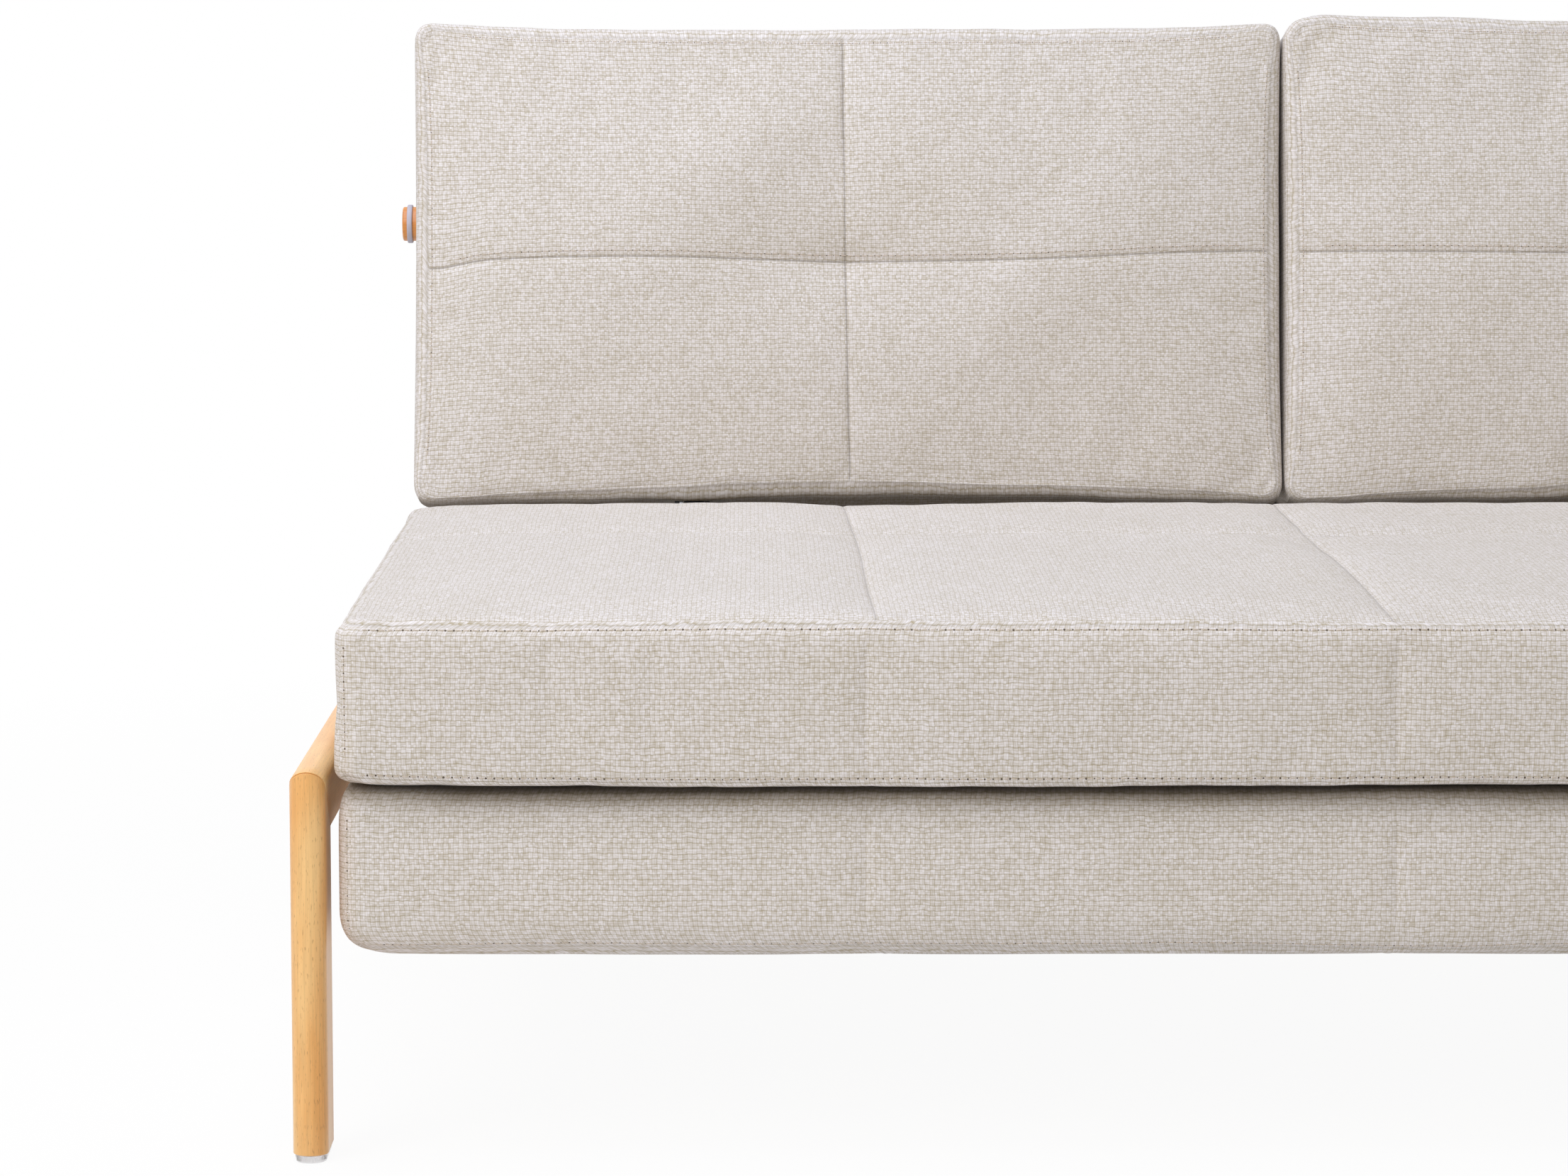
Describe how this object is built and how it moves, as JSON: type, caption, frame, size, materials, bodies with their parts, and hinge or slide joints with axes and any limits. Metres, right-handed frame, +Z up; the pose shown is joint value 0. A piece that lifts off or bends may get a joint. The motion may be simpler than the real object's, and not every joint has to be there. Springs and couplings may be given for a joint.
{
  "type": "click clack sofa bed",
  "caption": "Two-seat sofa bed on beech side frames, with a back that clicks down flat, loose back cushions and a second seat layer that turns over to the front.",
  "frame": {"origin": "on the floor, below the middle of the whole object", "axes": "+X to the right as seen from the front, +Y to the back, +Z up"},
  "size_m": [1.544, 0.9993, 0.7888],
  "materials": {
    "cloth": "matte",
    "foam": "matte",
    "beech": "satin",
    "birch": "satin",
    "black_steel": "satin",
    "zinc_steel": "satin",
    "clear_plastic": "gloss",
    "pale_rubber": "matte",
    "black_rubber": "matte"
  },
  "bodies": {
    "base": {"front_leg_left": "beech", "front_leg_right": "beech", "rear_leg_left": "beech", "rear_leg_right": "beech", "side_rail_left": "beech", "side_rail_right": "beech", "front_glide_left": "clear_plastic", "front_glide_right": "clear_plastic", "rear_glide_left": "clear_plastic", "rear_glide_right": "clear_plastic", "rear_stretcher": "black_steel", "pivot_plate_left": "zinc_steel", "pivot_plate_right": "zinc_steel"},
    "seat": {"seat_cover": "cloth", "seat_foam": "foam", "seat_slats": "birch", "seat_front_tube": "black_steel", "seat_rear_tube": "black_steel", "seat_middle_tube": "black_steel", "seat_side_tube_left": "black_steel", "seat_side_tube_right": "black_steel", "lift_arm_left": "black_steel", "lift_arm_right": "black_steel", "hinge_bracket_left": "black_steel", "hinge_bracket_right": "black_steel", "ratchet_disc_left": "zinc_steel", "ratchet_disc_right": "zinc_steel"},
    "fold_link": {"fold_link_left": "zinc_steel", "fold_link_right": "zinc_steel"},
    "lower": {"lower_cover": "cloth", "lower_foam": "foam", "lower_slats": "birch", "lower_front_tube": "black_steel", "lower_rear_tube": "black_steel", "lower_side_tube_left": "black_steel", "lower_side_tube_right": "black_steel"},
    "support_leg": {"support_leg_left": "black_steel", "support_leg_right": "black_steel", "support_foot_left": "black_rubber", "support_foot_right": "black_rubber", "support_leg_bar": "black_steel"},
    "back": {"back_cover_left": "cloth", "back_cover_right": "cloth", "back_foam_left": "foam", "back_foam_right": "foam", "hinge_arm_left": "black_steel", "hinge_arm_right": "black_steel", "back_post_left": "black_steel", "back_post_middle": "black_steel", "back_post_right": "black_steel", "post_rail_left": "black_steel", "post_rail_right": "black_steel", "cushion_rail": "black_steel", "dowel_clip_left": "zinc_steel", "dowel_clip_middle": "zinc_steel", "dowel_clip_right": "zinc_steel", "back_dowel": "beech", "dowel_ring_left": "pale_rubber", "dowel_ring_right": "pale_rubber"}
  },
  "joints": [
    {"name": "seat_lift", "type": "hinge", "parent": "base", "child": "seat", "pos_m": [0, 0.35924, 0.22], "axis": [-1, 0, 0], "range_deg": [0, 38]},
    {"name": "link_fold", "type": "hinge", "parent": "seat", "child": "fold_link", "pos_m": [0, -0.47376, 0.285], "axis": [-1, 0, 0], "range_deg": [0, 90]},
    {"name": "lower_fold", "type": "hinge", "parent": "fold_link", "child": "lower", "pos_m": [0, -0.47376, 0.245], "axis": [-1, 0, 0], "range_deg": [0, 90]},
    {"name": "support_leg_fold", "type": "hinge", "parent": "lower", "child": "support_leg", "pos_m": [0, 0.20924, 0.245], "axis": [-1, 0, 0], "range_deg": [0, 90]},
    {"name": "back_recline", "type": "hinge", "parent": "seat", "child": "back", "pos_m": [0, 0.28024, 0.383], "axis": [-1, 0, 0], "range_deg": [0, 81.2]}
  ],
  "couplings": [
    {"joint": "link_fold", "follows": "lower_fold", "ratio": 1},
    {"joint": "support_leg_fold", "follows": "lower_fold", "ratio": 1}
  ]
}
